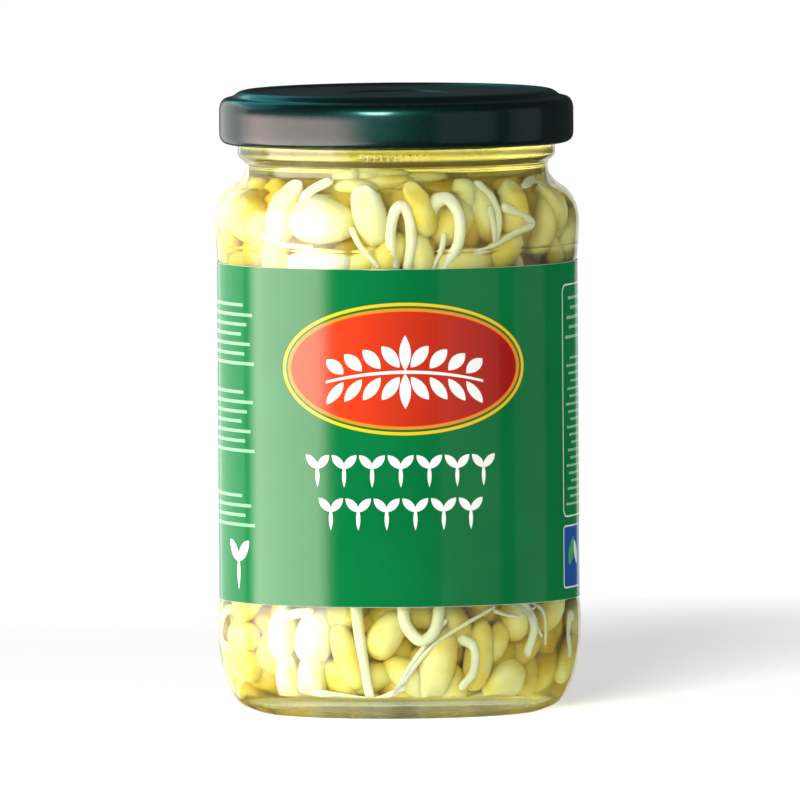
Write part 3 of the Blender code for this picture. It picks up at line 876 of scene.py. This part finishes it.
def finish_tree(tree, source, out, geometry):
    """Moves points that would stand out past the glass, or lie below its floor, back in to it,
    and gives what the tree makes its flesh."""
    widest, floor = 40, 4.9
    parts = add(tree, "ShaderNodeSeparateXYZ", Vector=add(tree, "GeometryNodeInputPosition"))
    flat = add(tree, "ShaderNodeCombineXYZ", X=parts.outputs[0], Y=parts.outputs[1])
    reach = add(tree, "ShaderNodeVectorMath", {"operation": "LENGTH"}, in_0=flat)
    tall = BRINE_LEVEL * MM
    profile = add(tree, "ShaderNodeFloatCurve", Value=("DIVIDE", parts.outputs[2], tall))
    line = profile.mapping.curves[0]
    wall = [(level * MM / tall, (radius - CONTACT) / widest) for radius, level in wet_wall[2:]]
    line.points[0].location = wall[0]
    line.points[1].location = wall[-1]
    for place in wall[1:-1]:
        line.points.new(*place)
    for point in line.points:
        point.handle_type = "VECTOR"
    profile.mapping.update()
    limit = ("MULTIPLY", profile, widest * MM)
    moved = add(
        tree, "ShaderNodeVectorMath", {"operation": "SCALE"}, in_0=flat,
        Scale=("MINIMUM", ("DIVIDE", limit, reach.outputs["Value"]), 1.0),
    )
    moved_parts = add(tree, "ShaderNodeSeparateXYZ", Vector=moved)
    final = add(
        tree, "ShaderNodeCombineXYZ", X=moved_parts.outputs[0], Y=moved_parts.outputs[1],
        Z=("MAXIMUM", parts.outputs[2], floor * MM),
    )
    pressed = add(tree, "GeometryNodeSetPosition", Geometry=geometry, Position=final)
    coloured = add(
        tree, "GeometryNodeSetMaterial", Geometry=pressed, Material=source.outputs["Flesh"],
    )
    tree.links.new(coloured.outputs[0], out.inputs[0])


# This tree puts a seed leaf pair on each point, turned and sized by the point's own values.
place_beans, source, out = new_tree("place_beans", "Seed Leaves", "NodeSocketObject")
tree = place_beans
pair = add(tree, "GeometryNodeObjectInfo", Object=source.outputs["Seed Leaves"])
turn, size = [
    add(tree, "GeometryNodeInputNamedAttribute", {"data_type": "FLOAT_VECTOR"}, Name=name)
    for name in ("turn", "size")
]
rotation = add(tree, "FunctionNodeEulerToRotation", Euler=turn)
instances = add(
    tree, "GeometryNodeInstanceOnPoints", Points=source.outputs["Geometry"],
    Instance=pair.outputs["Geometry"], Rotation=rotation, Scale=size,
)
real = add(tree, "GeometryNodeRealizeInstances", Geometry=instances)
finish_tree(tree, source, out, real)

# This sweeps a round section along each line, as thick as its points say.
sweep_stems, source, out = new_tree("sweep_stems", "Sides", "NodeSocketInt")
tree = sweep_stems
thick = add(tree, "GeometryNodeInputNamedAttribute", {"data_type": "FLOAT"}, Name="thick")
line = add(tree, "GeometryNodeMeshToCurve", Mesh=source.outputs["Geometry"])
section = add(
    tree, "GeometryNodeCurvePrimitiveCircle", Resolution=source.outputs["Sides"], Radius=1.0,
)
swept = add(
    tree, "GeometryNodeCurveToMesh", Curve=line, Profile_Curve=section, Scale=thick,
    Fill_Caps=True,
)
smooth = add(tree, "GeometryNodeSetShadeSmooth", Geometry=swept)
finish_tree(tree, source, out, smooth)


def made_by(tree, name, source, values):
    """Runs a geometry tree on a mesh and keeps what it makes as a plain object."""
    holder = placed(name + "_source", source)
    modifier = holder.modifiers.new("Make", "NODES")
    modifier.node_group = tree
    for item in tree.interface.items_tree:
        if item.in_out == "INPUT" and item.name in values:
            modifier[item.identifier] = values[item.name]
    graph = bpy.context.evaluated_depsgraph_get()
    mesh = bpy.data.meshes.new_from_object(holder.evaluated_get(graph))
    mesh.name = name
    bpy.data.objects.remove(holder)
    return placed(name, mesh)


def show_pile(pile, name, node, flesh=leaf_flesh):
    """Makes a pile's seed leaves and stems, and puts them in the place of a CAD node."""
    points = bpy.data.meshes.new(name + "_points")
    points.from_pydata([c * MM for c, _, _ in pile.beans], [], [])
    turn = points.attributes.new("turn", "FLOAT_VECTOR", "POINT")
    size = points.attributes.new("size", "FLOAT_VECTOR", "POINT")
    for n, (_, euler, scale) in enumerate(pile.beans):
        turn.data[n].vector = euler
        size.data[n].vector = scale
    pieces = [made_by(place_beans, name + "_seed_leaves", points, {
        "Seed Leaves": leaf_pair, "Flesh": flesh,
    })]
    lines = bpy.data.meshes.new(name + "_lines")
    vertices = []
    edges = []
    radii = []
    for path, thick in pile.stems:
        start = len(vertices)
        vertices += [p * MM for p in path]
        radii += thick
        edges += [(start + n, start + n + 1) for n in range(len(path) - 1)]
    lines.from_pydata(vertices, edges, [])
    thick_values = lines.attributes.new("thick", "FLOAT", "POINT")
    for n, radius in enumerate(radii):
        thick_values.data[n].value = radius * MM
    if pile.stems:
        pieces.append(made_by(sweep_stems, name + "_stems", lines, {
            "Sides": 10, "Flesh": stem_flesh,
        }))
    for piece in pieces:
        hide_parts(node)
        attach(piece, "jar")


def drum(name, node, low, high, radius):
    """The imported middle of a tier, which the outer sprouts cover."""
    outline = [(0.0, high - 1.0), (radius - 6, high - 0.6)]
    outline += curve([(radius - 3, high - 1.0), (radius - 0.6, high - 2.6), (radius, high - 5)], 3)
    outline += curve([(radius, low + 5), (radius - 0.6, low + 2.6), (radius - 3, low + 1.0)], 3)
    outline += [(radius - 6, low + 0.6), (0.0, low + 1.0)]
    # The drum takes the packed flesh, darker as painted shade inside the pile.
    made = turned(name, outline, (core_flesh,), around=64)
    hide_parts(node)
    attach(made, "jar")


def fill_pile(pile, low, high, count, radius, seed, gap=0.0, stems=True):
    """Scatters sprouts round a tier. gap leaves out the front, in degrees each way."""
    draw = random.Random(seed)
    golden = math.pi * (3 - math.sqrt(5))
    for n in range(count):
        azimuth = n * golden + draw.uniform(-0.2, 0.2)
        level = low + (high - low) * (n + 0.5) / count
        lean = draw.uniform(0, math.pi)
        dip = draw.uniform(-0.4, 0.4)
        reach = radius + draw.uniform(-0.8, 0.8)
        length = draw.uniform(9.5, 12.5)
        hook = draw.uniform(-1, 1)
        if abs(math.remainder(azimuth, math.tau)) < math.radians(gap):
            continue
        long_axis, out = lying(azimuth, lean, dip)
        centre = spot(azimuth, reach, level)
        pile.bean(centre, long_axis, out, length, length * draw.uniform(0.5, 0.62))
        if n % 2 or not stems:
            continue
        side = out.cross(long_axis) * (1 if hook > 0 else -1)
        start = centre + long_axis * length * 0.42
        pile.stem([
            start, start + long_axis * 3.5, start + long_axis * 4.5 + side * 3.5,
            start + long_axis * 1.5 + side * 7.0, start - long_axis * 4 + side * 6.5 - out * 5,
        ], 2.3, 1.6)


# The sprouts at the front lie where the photograph shows them. A pair of seed leaves has its
# place across, its level, lean in degrees, length, width, and distance from the jar's axis. A
# stem has its places as (across, level, distance) and how thick it starts and ends.
# These pairs, at the lit front left, take the pale flesh of painted highlight.
TOP_PALE_BEANS = (
    (-29.6, 98.4, 74, 12.5, 6.5, 28.4), (-20.2, 96.6, -4, 13.5, 7.6, 28.4),
    (-7.4, 98.0, 112, 11.5, 6.4, 28.6), (-20.6, 88.6, 3, 14.0, 7.0, 28.6),
)
TOP_BEANS = (
    (-15.6, 102.2, -6, 9.0, 5.2, 24.6), (-5.4, 103.4, 8, 11.0, 5.0, 22.6),
    (-19.4, 105.6, 12, 12.5, 5.2, 21.4), (-9.2, 106.4, -7, 11.5, 4.8, 21.4),
    (12.6, 104.4, 5, 12.0, 4.6, 20.6), (-26.0, 103.6, 55, 10.0, 5.0, 23.0),
    (6.0, 99.2, 110, 11.0, 5.0, 28.8), (17.0, 96.2, 30, 9.5, 6.4, 26.6),
    (24.6, 100.4, 100, 8.5, 5.5, 25.4), (28.8, 91.2, 40, 9.5, 6.4, 28.0),
    (-2.4, 90.2, 60, 10.5, 6.0, 28.0),
    (6.4, 90.0, 100, 11.0, 5.6, 28.2), (18.0, 88.6, 5, 13.0, 7.0, 28.0),
    (-31.0, 89.6, 100, 11.0, 6.4, 28.4), (11.8, 97.6, 20, 9.5, 5.8, 25.6),
    (-9.6, 89.0, 30, 11.0, 6.2, 27.0), (26.6, 97.4, 120, 9.5, 6.0, 26.6),
    (31.2, 98.4, 80, 11.0, 6.0, 28.0),
)
TOP_STEMS = (
    (((-24.0, 99.0, 29.0), (-23.6, 101.6, 28.6), (-21.6, 104.0, 27.0)), 3.2, 2.6),
    (((-10.6, 95.5, 30.8), (-8.6, 92.6, 31.2), (-4.6, 88.6, 31.2)), 1.3, 1.0),
    (((-0.6, 88.6, 30.2), (-1.6, 94.4, 30.6), (-0.6, 98.4, 30.6), (1.4, 99.4, 30.6),
      (3.0, 97.4, 30.6), (3.4, 92.6, 30.6), (2.6, 88.4, 30.4)), 2.1, 2.1),
    (((8.6, 96.6, 28.2), (9.6, 99.4, 29.4), (12.4, 100.6, 30.2), (14.8, 97.8, 30.6),
      (14.6, 93.4, 30.8), (12.6, 89.8, 30.8), (9.6, 86.4, 30.6)), 2.6, 2.0),
    (((11.8, 94.4, 29.8), (10.6, 91.4, 30.4), (8.4, 87.6, 30.6)), 1.2, 0.9),
    (((25.4, 103.0, 27.0), (25.0, 98.0, 29.6), (23.4, 92.6, 30.6)), 2.2, 1.2),
    (((25.8, 98.6, 30.4), (28.2, 97.4, 30.8), (30.4, 95.8, 30.9), (27.0, 94.4, 30.9),
      (21.0, 91.6, 30.9), (14.0, 89.6, 30.6)), 1.8, 1.0),
    (((23.0, 98.4, 29.8), (23.0, 95.4, 30.4), (23.2, 92.4, 30.6)), 1.4, 1.0),
    (((-30.6, 94.0, 30.6), (-27.0, 92.6, 30.8), (-20.0, 92.2, 30.9)), 1.2, 0.8),
)
# These pairs, at the lit front left, take the pale flesh of painted highlight.
BOTTOM_PALE_BEANS = (
    (-30.2, 8.2, 96, 9.6, 5.0, 28.0), (-23.8, 8.6, 88, 10.0, 6.0, 28.2),
    (-23.0, 16.2, 78, 11.0, 7.4, 28.2), (-30.6, 17.0, 80, 11.0, 6.0, 28.2),
)
BOTTOM_BEANS = (
    (-13.8, 12.6, 112, 13.6, 5.6, 28.6),
    (-3.7, 16.6, 58, 10.0, 6.4, 28.2), (10.2, 11.4, 76, 14.4, 7.2, 28.2),
    (21.4, 12.6, 82, 13.6, 5.6, 28.2), (26.8, 14.8, 60, 8.0, 4.8, 27.6),
    (28.6, 7.6, 40, 9.6, 7.4, 28.0),
    (-8.6, 8.6, 20, 9.6, 5.6, 26.6), (2.6, 9.0, 150, 11.0, 6.2, 27.0),
    (16.4, 18.4, 120, 9.6, 6.0, 26.6), (5.6, 20.4, 170, 9.6, 5.6, 25.6),
    (-17.6, 19.8, 20, 9.6, 6.0, 26.4), (-18.6, 8.2, 140, 9.6, 5.8, 26.4),
    (30.4, 19.4, 100, 9.6, 5.6, 28.0), (15.8, 8.0, 110, 9.0, 5.4, 26.6),
)
BOTTOM_STEMS = (
    (((-10.8, 23.4, 30.4), (-9.4, 15.0, 30.6), (-7.6, 5.4, 30.4)), 2.4, 1.8),
    (((-21.2, 5.8, 30.0), (-14.0, 5.0, 30.2), (-6.0, 4.6, 29.8), (0.6, 6.6, 30.4)), 1.4, 1.0),
    (((0.8, 22.6, 30.4), (1.4, 18.6, 30.8), (4.8, 15.6, 31.0), (8.2, 17.4, 31.0),
      (9.8, 22.6, 30.4)), 2.4, 2.2),
    (((-1.0, 5.8, 30.6), (4.0, 12.6, 31.0), (10.8, 19.2, 31.0)), 1.1, 0.8),
    (((-1.0, 6.0, 30.8), (8.0, 14.8, 31.2), (21.6, 21.4, 31.2)), 1.0, 0.7),
    (((15.6, 15.6, 29.8), (17.6, 14.0, 30.6), (17.4, 9.6, 30.8), (15.0, 6.8, 30.6)), 2.2, 1.6),
    (((28.6, 22.6, 30.2), (30.6, 17.6, 30.6), (29.4, 12.6, 30.6)), 2.2, 1.6),
    (((26.6, 21.6, 30.4), (29.4, 19.6, 30.9), (31.6, 15.4, 30.9)), 1.0, 0.6),
    (((29.8, 22.4, 30.4), (32.0, 19.6, 30.9), (32.4, 14.0, 30.8)), 0.9, 0.6),
    (((22.4, 20.6, 30.6), (26.6, 19.4, 31.0), (30.8, 20.8, 30.8)), 0.8, 0.5),
    (((-27.0, 22.6, 30.4), (-26.6, 20.0, 30.8), (-21.0, 21.0, 30.8)), 2.2, 1.8),
)


# The top and bottom tiers have the tables' front, an outer layer scattered round the rest and a
# deeper one in darker flesh, painted shade, each with its low, high, count, radius and seed, and a
# packed middle.
for tier, beans, stems, pale_beans, outer, deeper, core in (
    (
        "top", TOP_BEANS, TOP_STEMS, TOP_PALE_BEANS, (88.0, 99.5, 46, 28.2, 31),
        (88.0, 100.6, 60, 24.2, 32), (85.0, 103.6, 25.6),
    ),
    (
        "bottom", BOTTOM_BEANS, BOTTOM_STEMS, BOTTOM_PALE_BEANS, (8.0, 22.5, 48, 28.2, 41),
        (7.5, 22.5, 64, 24.4, 42), (5.2, 25.0, 25.0),
    ),
):
    node = "sprouts_" + tier
    pile = Pile()
    pile.lay_front(beans, stems)
    fill_pile(pile, *outer, gap=60)
    show_pile(pile, tier + "_sprouts", node)
    pile = Pile()
    pile.lay_front(pale_beans)
    show_pile(pile, tier + "_pale_sprouts", node, pale_flesh)
    pile = Pile()
    fill_pile(pile, *deeper, stems=False)
    show_pile(pile, tier + "_deep_sprouts", node, deep_flesh)
    drum(tier + "_sprouts_middle", node, *core)

# The middle tier lies behind the label, so that all of it is scattered.
middle = Pile()
fill_pile(middle, 28.0, 82.0, 60, 27.6, 51)
show_pile(middle, "middle_sprouts", "sprouts_middle")
drum("middle_sprouts_middle", "sprouts_middle", 25.3, 84.7, 25.5)

bpy.data.objects.remove(leaf_pair)
